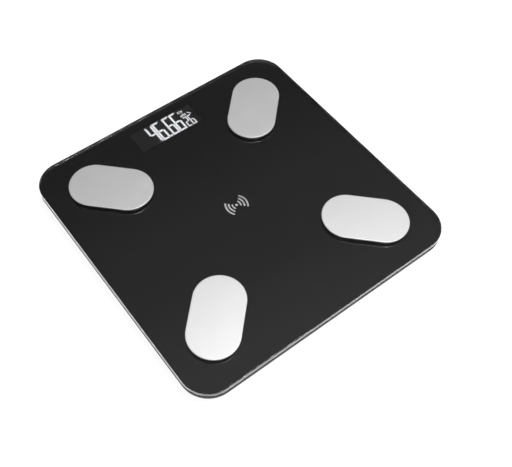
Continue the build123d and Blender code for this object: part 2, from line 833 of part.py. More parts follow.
def make_connectors():
    thick_entry = cell_lead_radius + lead_entry_gap
    thin_entry = thin_lead_radius + lead_entry_gap
    boxes = []
    for signs in corners.values():
        boxes.append(edge_connector(*cell_plug_place(*signs), cell_lead_height, [(0, thick_entry)]))
        boxes.append(edge_connector(*pad_plug_place(*signs), pad_lead_end, [(0, thin_entry)]))
    wires = [(side * battery_lead_spread, thin_entry) for side in (-1, 1)]
    boxes.append(edge_connector(0, board_front + connector_edge_gap, -90, battery_lead_height, wires))
    return group(boxes)


def make_processor():
    width, depth, height = processor_size
    chip = block(0, 0, width, depth, board_top, board_top + height)
    leg_length, leg_width, leg_height = processor_leg_size
    leg_x = width / 2 + processor_leg_reach - leg_length / 2
    leg = block(leg_x, 0, leg_length, leg_width, board_top, board_top + leg_height)
    for turn in range(4):
        for step in range(-processor_legs, processor_legs + 1):
            chip += Rot(0, 0, 90 * turn) * Pos(0, step * processor_leg_pitch) * leg
    return Pos(-chip_offset, board_front + chip_setback) * chip


def make_radio_module():
    width, depth, height = radio_size
    module = block(0, 0, width, depth, board_top, board_top + height)
    shield_top = board_top + height + radio_shield_height
    shield_left = radio_shield_inset - width / 2
    shield_width = width - radio_aerial_depth - radio_shield_inset
    module += block(shield_left + shield_width / 2, 0, shield_width, depth - 2 * radio_shield_inset,
                    board_top + height - fuse, shield_top)
    return Pos(chip_offset, board_front + chip_setback) * module


def make_board_parts():
    width, depth, height = chip_part_size
    places = [(side * chip_part_offset, board_front + row) for side in (-1, 1) for row in chip_part_rows]
    return group(block(x, y, width, depth, board_top, board_top + height) for x, y in places)


# ---- Display ----
lit_letters = {" ": "", "2": "abged", "4": "fgbc", "6": "afgecd"}


def drawn_in(points):
    return offset(Polygon(*points, align=None), -segment_split, kind=Kind.INTERSECTION)


def flipped(points, x_sign, y_sign):
    return [(x_sign * x, y_sign * y) for x, y in points]


def digit_bars(left, middle, width, height, stroke):
    # The seven bars are laid out touching, with mitred corners, and each is drawn in by half the gap.
    x = width / 2 + segment_split
    y = height / 2 + segment_split
    band = stroke + 2 * segment_split
    cap = [(-x, y), (x, y), (x - band, y - band), (band - x, y - band)]
    side = [(-x, y), (band - x, y - band), (band - x, band / 2), (band / 2 - x, 0), (-x, 0)]
    upper = [(band / 2 - x, 0), (band - x, band / 2), (x - band, band / 2), (x - band / 2, 0)]
    crossbar = upper + [(x - band, -band / 2), (band - x, -band / 2)]
    outlines = {
        "a": cap, "g": crossbar, "d": flipped(cap, 1, -1), "f": side,
        "b": flipped(side, -1, 1), "e": flipped(side, 1, -1), "c": flipped(side, -1, -1),
    }
    place = Pos(left + width / 2, middle)
    return {letter: place * drawn_in(points) for letter, points in outlines.items()}


def large_digit_edge(index):
    point_room = point_size + 2 * point_gap if index >= point_after else 0
    return first_digit_margin - window_width / 2 + index * (digit_width + digit_gap) + point_room


def small_digit_edge(index):
    start = large_digit_edge(len(digit_text) - 1) + digit_width + small_margin
    return start + index * (small_width + small_gap)


def small_middle():
    # Small digits stand on the large ones' base line.
    return (small_height - digit_height) / 2


def all_digits():
    digits = []
    for index, text in enumerate(digit_text):
        left = large_digit_edge(index)
        digits.append((text, digit_bars(left, 0, digit_width, digit_height, digit_stroke)))
    for index, text in enumerate(small_text):
        left = small_digit_edge(index)
        digits.append((text, digit_bars(left, small_middle(), small_width, small_height, small_stroke)))
    return digits


def gauge_icon():
    width, height = gauge_icon_size
    tip_width, tip_height = gauge_icon_tip
    body = Rectangle(width, height)
    body -= Rectangle(width - 2 * gauge_icon_wall, height - 2 * gauge_icon_wall)
    tip = Pos((width + tip_width) / 2) * Rectangle(tip_width, tip_height)
    return Pos(width / 2, gauge_icon_rise + height / 2) * (body + tip)


def level_icons():
    bars = []
    for step, height in enumerate(level_icon_heights):
        place = Pos(level_icon_width / 2 + step * level_icon_pitch, height / 2)
        bars.append(place * Rectangle(level_icon_width, height))
    return bars


def icon_outlines():
    # A battery gauge, a row of level bars and a slanting tick above the small digits.
    corner = Pos(small_digit_edge(0), small_middle() + small_height / 2 + icon_gap)
    tick = Pos(*tick_icon_place) * Rot(0, 0, tick_icon_angle) * Rectangle(*tick_icon_size)
    return [corner * shape for shape in [gauge_icon(), tick] + level_icons()]


def point_outline():
    left = large_digit_edge(point_after - 1) + digit_width + point_gap
    return Pos(left + point_size / 2, (point_size - digit_height) / 2) * Rectangle(point_size, point_size)


def lit_outlines():
    shapes = [bars[letter] for text, bars in all_digits() for letter in lit_letters[text]]
    return shapes + [point_outline()] + icon_outlines()


def unlit_outlines():
    return [bars[letter] for text, bars in all_digits() for letter in bars if letter not in lit_letters[text]]


def make_segments(outlines):
    bottom = reflector_top - segment_depth
    return group(Pos(0, display_y) * slab(shape, bottom, reflector_top + segment_proud) for shape in outlines)


def make_reflector():
    body = block(0, display_y, window_width, window_depth, board_top, reflector_top)
    wells = [Pos(0, display_y) * slab(shape, reflector_top - segment_depth, reflector_top + through)
             for shape in lit_outlines() + unlit_outlines()]
    return body - wells


# ---- Leads ----
def turn_angle(before, at, after):
    return (Vector(*at) - Vector(*before)).get_angle(Vector(*after) - Vector(*at))


def make_lead(name, points, radius):
    # Straight runs joined by tangent arcs, each as large as its two runs allow.
    runs = [(Vector(*b) - Vector(*a)).length for a, b in zip(points, points[1:])]
    bends = []
    for index in range(1, len(points) - 1):
        half_turn = radians(turn_angle(*points[index - 1:index + 2]) / 2)
        bends.append(bend_share * min(runs[index - 1], runs[index]) / tan(half_turn))
    path = FilletPolyline(*points, radius=bends)
    start = Plane(origin=path @ 0, z_dir=path % 0)
    lead = sweep(start * Circle(radius), path=path)
    expected = pi * radius**2 * path.length
    print(name, "bends", [round(r, 1) for r in bends], "least allowed", 2 * radius * minimum_bend,
          "length", round(path.length, 1), "volume ratio", round(lead.volume / expected, 4))
    return lead


def cell_lead_points(x_sign, y_sign):
    plug_x, plug_y, _ = cell_plug_place(x_sign, y_sign)
    z = cell_lead_height
    start = foot_offset - cell_lead_start
    if y_sign < 0:
        turn_x, turn_setback = front_cell_turn
        return [
            (x_sign * foot_offset, -start, z),
            (x_sign * foot_offset, front_cell_run - start, z),
            (x_sign * front_cell_knee[0], front_cell_knee[1], z),
            (x_sign * turn_x, board_front - turn_setback, z),
            (plug_x, board_front - front_cell_approach, z),
            (plug_x, plug_y + lead_entry, z),
        ]
    end = abs(plug_x) - lead_entry
    return [
        (x_sign * start, foot_offset, z),
        (x_sign * (start - back_cell_run), foot_offset, z),
        (x_sign * (start + end) / 2, foot_offset - back_cell_sag, z),
        (x_sign * (end + back_cell_run), plug_y, z),
        (x_sign * end, plug_y, z),
    ]


def front_pad_lead_points(x_sign, plug_x, plug_y):
    start = tag_reach - barrel_length / 2 - pad_offset
    turn_x, turn_setback = front_pad_turn
    knee_rise, turn_rise = front_pad_rises
    return [
        (x_sign * pad_offset, start, barrel_height),
        (x_sign * pad_offset, start + front_pad_run, barrel_height),
        (x_sign * front_pad_knee[0], front_pad_knee[1], pad_lead_end + knee_rise),
        (x_sign * turn_x, board_front - turn_setback, pad_lead_end + turn_rise),
        (plug_x, board_front - front_pad_approach, pad_lead_end),
        (plug_x, plug_y + lead_entry, pad_lead_end),
    ]


def pad_lead_points(x_sign, y_sign):
    plug_x, plug_y, _ = pad_plug_place(x_sign, y_sign)
    if y_sign < 0:
        return front_pad_lead_points(x_sign, plug_x, plug_y)
    start = tag_reach - barrel_length / 2
    turn = radians(back_tag_turn)
    along = [(x_sign * (pad_offset - reach * cos(turn)), pad_offset + reach * sin(turn), barrel_height)
             for reach in (start, start + back_pad_run)]
    return along + [
        (plug_x + x_sign * back_pad_run, plug_y, pad_lead_end),
        (plug_x - x_sign * lead_entry, plug_y, pad_lead_end),
    ]


def battery_lead_points(side):
    z = battery_lead_height
    start = side * (bay_length / 2 + bay_wall + contact_tag_reach / 2)
    first = [(start, battery_y(2), z)]
    if side < 0:
        detour_x, detour_y = battery_lead_detour
        first = [(start, battery_y(0), z), (start - detour_x, battery_y(1) + detour_y, z)]
    return first + [
        (start + battery_lead_lean, battery_y(2) + battery_lead_run, z),
        (side * battery_lead_spread, board_front - battery_lead_approach, z),
        (side * battery_lead_spread, board_front + connector_edge_gap + lead_entry, z),
    ]


# ---- Writing the sub-parts ----
def write_corner_parts():
    for name, (x_sign, y_sign) in corners.items():
        x = x_sign * foot_offset
        y = y_sign * foot_offset
        save("electrode_" + name, make_electrode(x_sign, y_sign))
        save("foot_cap_" + name, make_foot_cap(x, y))
        save("foot_pad_" + name, make_foot_pad(x, y))
        save("load_cell_" + name, make_load_cell(x_sign, y_sign))
        cell_points = cell_lead_points(x_sign, y_sign)
        save("load_cell_lead_" + name, make_lead("load_cell_lead_" + name, cell_points, cell_lead_radius))
        pad_points = pad_lead_points(x_sign, y_sign)
        save("electrode_lead_" + name, make_lead("electrode_lead_" + name, pad_points, thin_lead_radius))


def write_groups():
    signs = list(corners.values())
    save("electrode_adhesive", group(make_pad_glue(*sign) for sign in signs))
    save("electrode_washers", group(make_washer(x, y) for x, y in stud_places()))
    save("electrode_tags", group(make_solder_tag(*sign) for sign in signs))
    save("electrode_nuts", group(make_nut(x, y) for x, y in stud_places()))
    save("strain_gauges", group(make_strain_gauge(*sign) for sign in signs))
    save("gauge_sealant", group(make_sealant(*sign) for sign in signs))
    save("board_screws", group(make_board_screw(x, y) for x, y in boss_places()))


def write_power_parts():
    for index in range(battery_count):
        save("battery_" + str(index + 1), make_battery(index))
    save("battery_contact_positive", make_positive_contact())
    save("battery_contact_negative", make_negative_contact())
    save("battery_contact_bridges", group([make_contact_bridge(1, 0, 1), make_contact_bridge(-1, 1, 2)]))
    for name, side in (("battery_lead_positive", 1), ("battery_lead_negative", -1)):
        save(name, make_lead(name, battery_lead_points(side), thin_lead_radius))
    save("battery_door", make_battery_door())


def write_platform_parts():
    save("glass_platform", make_glass())
    save("back_print", make_back_print())
    save("display_window", make_display_window())
    save("wireless_mark", make_wireless_mark())
    save("mounting_tape", make_mounting_tape())
    save("base_housing", make_base_housing())


def write_board_parts():
    save("main_board", make_main_board())
    save("board_connectors", make_connectors())
    save("processor", make_processor())
    save("radio_module", make_radio_module())
    save("board_components", make_board_parts())
    save("display_reflector", make_reflector())
    save("lit_segments", make_segments(lit_outlines()))
    save("unlit_segments", make_segments(unlit_outlines()))
    save("tact_switch", make_tact_switch())
    save("switch_plunger", make_switch_plunger())
    save("unit_button", make_unit_button())


os.makedirs("parts", exist_ok=True)
write_platform_parts()
write_corner_parts()
write_groups()
write_power_parts()
write_board_parts()
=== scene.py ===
import json
import math
import bpy
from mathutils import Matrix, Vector


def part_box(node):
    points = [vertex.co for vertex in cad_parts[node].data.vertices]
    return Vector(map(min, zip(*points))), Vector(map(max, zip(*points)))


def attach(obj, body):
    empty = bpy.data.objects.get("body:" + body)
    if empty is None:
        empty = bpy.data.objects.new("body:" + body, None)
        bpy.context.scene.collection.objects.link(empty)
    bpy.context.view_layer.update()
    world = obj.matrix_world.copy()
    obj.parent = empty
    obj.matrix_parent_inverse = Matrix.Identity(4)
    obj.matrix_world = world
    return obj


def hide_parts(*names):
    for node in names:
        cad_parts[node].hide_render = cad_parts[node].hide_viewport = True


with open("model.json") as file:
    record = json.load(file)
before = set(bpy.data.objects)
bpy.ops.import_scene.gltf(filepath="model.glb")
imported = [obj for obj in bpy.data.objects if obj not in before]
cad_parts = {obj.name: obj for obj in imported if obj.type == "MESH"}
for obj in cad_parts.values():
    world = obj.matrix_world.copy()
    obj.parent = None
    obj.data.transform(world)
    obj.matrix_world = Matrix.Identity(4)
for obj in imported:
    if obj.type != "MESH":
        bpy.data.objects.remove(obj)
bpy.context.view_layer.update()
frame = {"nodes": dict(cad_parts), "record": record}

print("frame loaded,", len(frame["nodes"]), "CAD nodes")

mm = 0.001
nearby = 0.01 * mm             # closer than this counts as the same place
hairline = 0.0005 * mm         # doubles closer than this are merged
shortestUpright = 0.2 * mm
corners = {                    # the CAD's word, and the side of the middle in x and y
    "FrontLeft": ("front_left", -1, -1),
    "FrontRight": ("front_right", 1, -1),
    "BackLeft": ("back_left", -1, 1),
    "BackRight": ("back_right", 1, 1),
}


# Camera: stands off the front left corner, looking down across the platform

cameraSetup = {
    "place": (-0.2519, -0.3280, 0.6114),
    "tilt": 32.88,             # degrees up from straight down
    "turn": -36.46,            # degrees about the vertical
    "lens": 54.75,
    "sensor": 36,
    "shiftX": 0.0541,
    "shiftY": 0.0018,
    "nearest": 0.01,
}


def addCamera(setup):
    bpy.ops.object.camera_add(
        location=setup["place"],
        rotation=(math.radians(setup["tilt"]), 0, math.radians(setup["turn"])),
    )
    camera = bpy.context.object
    camera.name = "productCamera"
    camera.data.sensor_width = setup["sensor"]
    camera.data.lens = setup["lens"]
    camera.data.shift_x = setup["shiftX"]
    camera.data.shift_y = setup["shiftY"]
    camera.data.clip_start = setup["nearest"]
    bpy.context.scene.camera = camera


addCamera(cameraSetup)
print("camera ready")


# Small helpers for modelling by hand

def clearSelection():
    if bpy.context.object and bpy.context.object.mode != "OBJECT":
        bpy.ops.object.mode_set(mode="OBJECT")
    bpy.ops.object.select_all(action="DESELECT")


def selectOnly(piece):
    clearSelection()
    bpy.context.view_layer.objects.active = piece
    piece.select_set(True)


def nameNew(name):
    piece = bpy.context.object
    piece.name = name
    piece.data.name = name
    return piece


def bakePlace():
    bpy.ops.object.transform_apply(location=True, rotation=True, scale=True)


def middleOf(node):
    low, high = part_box(node)
    return (low.x + high.x) / 2, (low.y + high.y) / 2


def pickNothing(kind):
    bpy.ops.object.mode_set(mode="EDIT")
    bpy.ops.mesh.select_mode(type=kind)
    bpy.ops.mesh.select_all(action="DESELECT")
    bpy.ops.object.mode_set(mode="OBJECT")


def pickEdges(piece, wanted):
    # wanted is asked about both ends of each edge
    pickNothing("EDGE")
    points = piece.data.vertices
    for edge in piece.data.edges:
        edge.select = wanted(points[edge.vertices[0]].co, points[edge.vertices[1]].co)
    bpy.ops.object.mode_set(mode="EDIT")


def pickFaces(piece, wanted):
    # wanted is asked about each face's middle and normal
    pickNothing("FACE")
    for face in piece.data.polygons:
        face.select = wanted(face.center, face.normal)
    bpy.ops.object.mode_set(mode="EDIT")


def standsUpright(a, b):
    return abs(a.z - b.z) > shortestUpright and (a.xy - b.xy).length < nearby


def liesAt(height):
    return lambda a, b: abs(a.z - height) < nearby and abs(b.z - height) < nearby


def roundPicked(offset, steps):
    bpy.ops.mesh.bevel(offset=offset, segments=steps, profile=0.5)      # 0.5 makes a round
    bpy.ops.object.mode_set(mode="OBJECT")


def applyBoolean(piece, tool, operation):
    selectOnly(piece)
    joined = piece.modifiers.new("cut", "BOOLEAN")
    joined.operation = operation
    joined.solver = "EXACT"
    joined.object = tool
    bpy.ops.object.modifier_apply(modifier=joined.name)
    bpy.data.objects.remove(tool)


def mergeDoubles(distance):
    bpy.ops.object.mode_set(mode="EDIT")
    bpy.ops.mesh.select_all(action="SELECT")
    bpy.ops.mesh.remove_doubles(threshold=distance)


def finishSurface(piece, angle):
    # smooth across shallow folds only, with the broad flats kept flat
    selectOnly(piece)
    mergeDoubles(hairline)
    bpy.ops.mesh.normals_make_consistent(inside=False)
    bpy.ops.object.mode_set(mode="OBJECT")
    bpy.ops.object.shade_smooth_by_angle(angle=math.radians(angle))
    flats = piece.modifiers.new("flats", "WEIGHTED_NORMAL")
    flats.keep_sharp = True
    flats.weight = 100         # the largest faces lead
    bpy.ops.object.modifier_apply(modifier=flats.name)
    bakePlace()


def copyPiece(source, name, place, turn=0):
    # a copy with a mesh of its own, which holds its place and turn
    copy = source.copy()
    copy.data = source.data.copy()
    copy.name = name
    copy.data.name = name
    bpy.context.scene.collection.objects.link(copy)
    selectOnly(copy)
    copy.rotation_euler.z = math.radians(turn)
    copy.location = (*place, 0)
    bakePlace()
    return copy


# Small helpers for shading

colourA, colourB, colourOut = 6, 7, 2      # sockets of a Mix node that is set to colours


def grey(tone):
    return (tone, tone, tone)


def shades(colour, spread):
    return [c * (1 - spread) for c in colour], [min(1, c * (1 + spread)) for c in colour]


def feed(tree, value, socket):
    if isinstance(value, (int, float)):
        socket.default_value = value
    else:
        tree.links.new(value, socket)


def addMaths(tree, operation, first, second):
    node = tree.nodes.new("ShaderNodeMath")
    node.operation = operation
    feed(tree, first, node.inputs[0])
    feed(tree, second, node.inputs[1])
    return node.outputs[0]


def addRange(tree, value, low, high, toLow, toHigh):
    node = tree.nodes.new("ShaderNodeMapRange")
    tree.links.new(value, node.inputs["Value"])
    for label, number in (("From Min", low), ("From Max", high), ("To Min", toLow), ("To Max", toHigh)):
        feed(tree, number, node.inputs[label])
    return node.outputs["Result"]


def addNoise(tree, vector, scale, detail, roughness):
    node = tree.nodes.new("ShaderNodeTexNoise")
    node.inputs["Detail"].default_value = detail
    node.inputs["Roughness"].default_value = roughness
    tree.links.new(vector, node.inputs["Vector"])
    feed(tree, scale, node.inputs["Scale"])
    return node.outputs["Fac"]


def addParts(tree, vector):
    node = tree.nodes.new("ShaderNodeSeparateXYZ")
    tree.links.new(vector, node.inputs[0])
    return node.outputs


def addRamp(tree, stops):
    ramp = tree.nodes.new("ShaderNodeValToRGB")
    places = ramp.color_ramp.elements
    places.remove(places[1])
    for index, (at, colour) in enumerate(stops):
        stop = places[0] if index == 0 else places.new(at)
        stop.position = at
        stop.color = (*colour, 1)
    return ramp


def blendColours(tree, mask, first, second, socket):
    node = tree.nodes.new("ShaderNodeMix")
    node.data_type = "RGBA"
    node.inputs[colourA].default_value = (*first, 1)
    node.inputs[colourB].default_value = (*second, 1)
    tree.links.new(mask, node.inputs["Factor"])
    tree.links.new(node.outputs[colourOut], socket)


def spreadRoughness(tree, mask, rough, shader):
    tree.links.new(addRange(tree, mask, 0, 1, *rough), shader.inputs["Roughness"])


def raiseSurface(tree, shader, height, strength, distance):
    bump = tree.nodes.new("ShaderNodeBump")
    bump.inputs["Strength"].default_value = strength
    bump.inputs["Distance"].default_value = distance
    tree.links.new(height, bump.inputs["Height"])
    tree.links.new(bump.outputs["Normal"], shader.inputs["Normal"])


# Shared node groups: each gives only masks and heights

def startGroup(name, numbers, outputs):
    tree = bpy.data.node_groups.new(name, "ShaderNodeTree")
    tree.interface.new_socket(name="Vector", in_out="INPUT", socket_type="NodeSocketVector")
    for label, value in numbers.items():
        socket = tree.interface.new_socket(name=label, in_out="INPUT", socket_type="NodeSocketFloat")
        socket.default_value = value
    for label in outputs:
        tree.interface.new_socket(name=label, in_out="OUTPUT", socket_type="NodeSocketFloat")
    return tree, tree.nodes.new("NodeGroupInput").outputs, tree.nodes.new("NodeGroupOutput").inputs


mouldGrain = {
    "inputs": {"Size": 0.0004, "Spread": 0.5},
    "finer": 2.3,              # fine noise against the pits
    "fineNoise": (3, 0.6),     # detail and roughness, as in every noise here
    "fineHeight": 0.6,
    "fineTone": 0.4,
    "slowScale": 38,
    "slowNoise": (4, 0.55),
}


def buildMouldGrain(grain):
    # spark-eroded tool texture: small round pits over a slow unevenness
    tree, start, end = startGroup("mouldGrain", grain["inputs"], ("Height", "Tone"))
    scale = addMaths(tree, "DIVIDE", 1, start["Size"])
    pits = tree.nodes.new("ShaderNodeTexVoronoi")
    pits.feature = "SMOOTH_F1"
    tree.links.new(start["Vector"], pits.inputs["Vector"])
    tree.links.new(scale, pits.inputs["Scale"])
    fineScale = addMaths(tree, "MULTIPLY", scale, grain["finer"])
    fine = addNoise(tree, start["Vector"], fineScale, *grain["fineNoise"])
    slow = addNoise(tree, start["Vector"], grain["slowScale"], *grain["slowNoise"])
    fineHeight = addMaths(tree, "MULTIPLY", fine, grain["fineHeight"])
    fineTone = addMaths(tree, "MULTIPLY", fine, grain["fineTone"])
    slowTone = addMaths(tree, "MULTIPLY", slow, start["Spread"])
    tree.links.new(addMaths(tree, "ADD", pits.outputs["Distance"], fineHeight), end["Height"])
    tree.links.new(addMaths(tree, "ADD", slowTone, fineTone), end["Tone"])
    return tree


satinLines = {
    "inputs": {"Pitch": 0.0003, "Stretch": 60, "Turn": 0},
    "strokeNoise": (4, 0.65),
    "cloudScale": 45,
    "cloudNoise": (3, 0.5),
}


def buildSatinLines(lines):
    # fine parallel strokes left by a finishing belt, with a slow cloudiness across them
    tree, start, end = startGroup("satinLines", lines["inputs"], ("Height", "Cloud"))
    turned = tree.nodes.new("ShaderNodeVectorRotate")
    turned.rotation_type = "Z_AXIS"
    tree.links.new(start["Vector"], turned.inputs["Vector"])
    tree.links.new(start["Turn"], turned.inputs["Angle"])
    parts = addParts(tree, turned.outputs[0])
    drawn = tree.nodes.new("ShaderNodeCombineXYZ")
    tree.links.new(addMaths(tree, "DIVIDE", parts["X"], start["Stretch"]), drawn.inputs["X"])
    tree.links.new(parts["Y"], drawn.inputs["Y"])
    tree.links.new(addMaths(tree, "DIVIDE", parts["Z"], start["Stretch"]), drawn.inputs["Z"])
    scale = addMaths(tree, "DIVIDE", 1, start["Pitch"])
    tree.links.new(addNoise(tree, drawn.outputs[0], scale, *lines["strokeNoise"]), end["Height"])
    cloud = addNoise(tree, start["Vector"], lines["cloudScale"], *lines["cloudNoise"])
    tree.links.new(cloud, end["Cloud"])
    return tree


handMarks = {
    "inputs": {"Size": 0.03, "Cover": 0.4},
    "bendScale": 30,
    "bendReach": 0.03,
    "smearNoise": (5, 0.6),
    "smearFade": 0.25,
    "speckScale": 2600,
    "speckNoise": (1, 0.5),
    "speckFrom": 0.68,
    "speckTo": 0.8,
}


def buildHandMarks(marks):
    # faint smears and lighter dust, gathered in patches
    tree, start, end = startGroup("handMarks", marks["inputs"], ("Smear", "Dust"))
    scale = addMaths(tree, "DIVIDE", 1, start["Size"])
    bent = tree.nodes.new("ShaderNodeTexNoise")
    bent.inputs["Scale"].default_value = marks["bendScale"]
    tree.links.new(start["Vector"], bent.inputs["Vector"])
    offset = tree.nodes.new("ShaderNodeVectorMath")
    offset.operation = "MULTIPLY_ADD"
    offset.inputs[1].default_value = grey(marks["bendReach"])
    tree.links.new(bent.outputs["Color"], offset.inputs[0])
    tree.links.new(start["Vector"], offset.inputs[2])
    broad = addNoise(tree, offset.outputs[0], scale, *marks["smearNoise"])
    edge = addMaths(tree, "SUBTRACT", 1, start["Cover"])
    full = addMaths(tree, "ADD", edge, marks["smearFade"])
    tree.links.new(addRange(tree, broad, edge, full, 0, 1), end["Smear"])
    specks = addNoise(tree, start["Vector"], marks["speckScale"], *marks["speckNoise"])
    tree.links.new(addRange(tree, specks, marks["speckFrom"], marks["speckTo"], 0, 1), end["Dust"])
    return tree


groupTrees = {
    "mouldGrain": buildMouldGrain(mouldGrain),
    "satinLines": buildSatinLines(satinLines),
    "handMarks": buildHandMarks(handMarks),
}


# Material building

def startFinish(name, settings):
    finish = bpy.data.materials.new(name)
    finish.use_nodes = True
    shader = finish.node_tree.nodes["Principled BSDF"]
    for label, value in settings.items():
        shader.inputs[label].default_value = value
    place = finish.node_tree.nodes.new("ShaderNodeTexCoord")
    return finish, finish.node_tree, shader, place.outputs["Object"]


def useGroup(tree, name, vector, values):
    node = tree.nodes.new("ShaderNodeGroup")
    node.node_tree = groupTrees[name]
    tree.links.new(vector, node.inputs["Vector"])
    for label, value in values.items():
        node.inputs[label].default_value = value
    return node.outputs


plasticSkin = {"toneFrom": 0.2, "toneTo": 0.8, "roughSwing": 0.07, "raised": 0.35}


def mouldedPlastic(name, colour, rough=0.5, grain=0.0004, depth=0.00003, spread=0.18, extra=None):
    finish, tree, shader, place = startFinish(name, extra or {})
    skin = useGroup(tree, "mouldGrain", place, {"Size": grain})
    blendColours(tree, skin["Tone"], *shades(colour, spread), shader.inputs["Base Color"])
    swing = plasticSkin["roughSwing"]
    uneven = addRange(tree, skin["Tone"], plasticSkin["toneFrom"], plasticSkin["toneTo"],
                      rough - swing, rough + swing)
    tree.links.new(uneven, shader.inputs["Roughness"])
    raiseSurface(tree, shader, skin["Height"], plasticSkin["raised"], depth)
    return finish


metalSkin = {
    "lineFrom": 0.3, "lineTo": 0.7, "roughSwing": 0.04, "raised": 0.25,
    "marks": {"Size": 0.02, "Cover": 0.45}, "smearRough": 0.04,
}


def workedMetal(name, colour, rough=0.3, pitch=0.0003, stretch=60, turn=0, depth=0.000006, spread=0.06):
    finish, tree, shader, place = startFinish(name, {"Metallic": 1})
    lines = useGroup(tree, "satinLines", place,
                     {"Pitch": pitch, "Stretch": stretch, "Turn": math.radians(turn)})
    marks = useGroup(tree, "handMarks", place, metalSkin["marks"])
    blendColours(tree, lines["Cloud"], *shades(colour, spread), shader.inputs["Base Color"])
    swing = metalSkin["roughSwing"]
    uneven = addRange(tree, lines["Height"], metalSkin["lineFrom"], metalSkin["lineTo"],
                      rough - swing, rough + swing)
    smeared = addMaths(tree, "MULTIPLY", marks["Smear"], metalSkin["smearRough"])
    tree.links.new(addMaths(tree, "ADD", uneven, smeared), shader.inputs["Roughness"])
    raiseSurface(tree, shader, lines["Height"], metalSkin["raised"], depth)
    return finish


# Finishes for this scale

glassLook = {
    "shader": {"Transmission Weight": 1, "IOR": 1.5},
    "marks": {"Size": 0.045, "Cover": 0.42},
    "clean": 0.985,
    "smeared": 0.97,
    "rimRough": 0.12,
    "rimUpTo": 0.3,            # a face's lean, 0 upright to 1 flat, where the grinding starts to fade
    "flatFrom": 0.9,           # and where it is gone
}


def clearGlass(look):
    finish, tree, shader, place = startFinish("clearGlass", look["shader"])
    marks = useGroup(tree, "handMarks", place, look["marks"])
    blendColours(tree, marks["Smear"], grey(look["clean"]), grey(look["smeared"]),
                 shader.inputs["Base Color"])
    # the upright rim is ground, and the two faces are polished
    facing = addParts(tree, place.node.outputs["Normal"])
    flatness = addMaths(tree, "ABSOLUTE", facing["Z"], 0)
    ground = addRange(tree, flatness, look["rimUpTo"], look["flatFrom"], look["rimRough"], 0)
    tree.links.new(ground, shader.inputs["Roughness"])
    return finish


coatingLook = {
    "shader": {"Specular IOR Level": 0.5},
    "patch": 0.006,
    "darkest": 0.0008,
    "lightest": 0.0014,
    "rough": (0.02, 0.05),
}


def blackCoating(look):
    finish, tree, shader, place = startFinish("blackCoating", look["shader"])
    skin = useGroup(tree, "mouldGrain", place, {"Size": look["patch"]})
    blendColours(tree, skin["Tone"], grey(look["darkest"]), grey(look["lightest"]),
                 shader.inputs["Base Color"])
    spreadRoughness(tree, skin["Tone"], look["rough"], shader)
    return finish


windowLook = {
    "shader": {"Transmission Weight": 1, "IOR": 1.45},
    "marks": {"Size": 0.03, "Cover": 0.5},
    "clean": (0.36, 0.36, 0.365),
    "smeared": (0.34, 0.34, 0.345),
    "rough": (0.0, 0.01),
}


def smokedWindow(look):
    finish, tree, shader, place = startFinish("smokedWindow", look["shader"])
    marks = useGroup(tree, "handMarks", place, look["marks"])
    blendColours(tree, marks["Smear"], look["clean"], look["smeared"], shader.inputs["Base Color"])
    spreadRoughness(tree, marks["Smear"], look["rough"], shader)
    return finish


guideLook = {
    "shader": {"Roughness": 0.4, "Emission Strength": 2.6},
    "patch": 0.002,
    "body": ((0.80, 0.83, 0.86), (0.92, 0.94, 0.96)),
    "glow": ((0.93, 0.95, 0.97), (1.0, 1.0, 1.0)),
}


def glowingGuide(look):
    finish, tree, shader, place = startFinish("glowingGuide", look["shader"])
    skin = useGroup(tree, "mouldGrain", place, {"Size": look["patch"]})
    blendColours(tree, skin["Tone"], *look["body"], shader.inputs["Base Color"])
    blendColours(tree, skin["Tone"], *look["glow"], shader.inputs["Emission Color"])
    return finish


inkLook = {"shader": {"Roughness": 0.6}, "mesh": 0.0005, "darkest": 0.48, "lightest": 0.66}


def screenInk(look):
    finish, tree, shader, place = startFinish("screenInk", look["shader"])
    skin = useGroup(tree, "mouldGrain", place, {"Size": look["mesh"]})
    blendColours(tree, skin["Tone"], grey(look["darkest"]), grey(look["lightest"]),
                 shader.inputs["Base Color"])
    return finish


rubberLook = {
    "shader": {"Specular IOR Level": 0.3},
    "grain": {"Size": 0.0006, "Spread": 0.8},
    "marks": {"Size": 0.012, "Cover": 0.5},
    "darkest": (0.028, 0.028, 0.028),
    "lightest": (0.05, 0.05, 0.049),
    "dust": (0.16, 0.155, 0.15),
    "dustCover": 0.5,
    "rough": (0.7, 0.9),
    "raised": 0.4,
    "depth": 0.00006,
}


def footRubber(look):
    finish, tree, shader, place = startFinish("footRubber", look["shader"])
    skin = useGroup(tree, "mouldGrain", place, look["grain"])
    marks = useGroup(tree, "handMarks", place, look["marks"])
    dusty = tree.nodes.new("ShaderNodeMix")
    dusty.data_type = "RGBA"
    dusty.inputs[colourB].default_value = (*look["dust"], 1)
    tree.links.new(addMaths(tree, "MULTIPLY", marks["Dust"], look["dustCover"]), dusty.inputs["Factor"])
    blendColours(tree, skin["Tone"], look["darkest"], look["lightest"], dusty.inputs[colourA])
    tree.links.new(dusty.outputs[colourOut], shader.inputs["Base Color"])
    spreadRoughness(tree, skin["Tone"], look["rough"], shader)
    raiseSurface(tree, shader, skin["Height"], look["raised"], look["depth"])
    return finish


foamLook = {
    "shader": {"Roughness": 0.95, "Specular IOR Level": 0.2},
    "grain": {"Size": 0.0007, "Spread": 0.3},
    "darkest": 0.010,
    "lightest": 0.035,
    "raised": 0.8,
    "depth": 0.0002,
}


def foamTape(look):
    finish, tree, shader, place = startFinish("foamTape", look["shader"])
    skin = useGroup(tree, "mouldGrain", place, look["grain"])
    # the colour follows the grain's height, darker in the dips: painted shade in the foam's pits
    blendColours(tree, skin["Height"], grey(look["darkest"]), grey(look["lightest"]),
                 shader.inputs["Base Color"])
    raiseSurface(tree, shader, skin["Height"], look["raised"], look["depth"])
    return finish


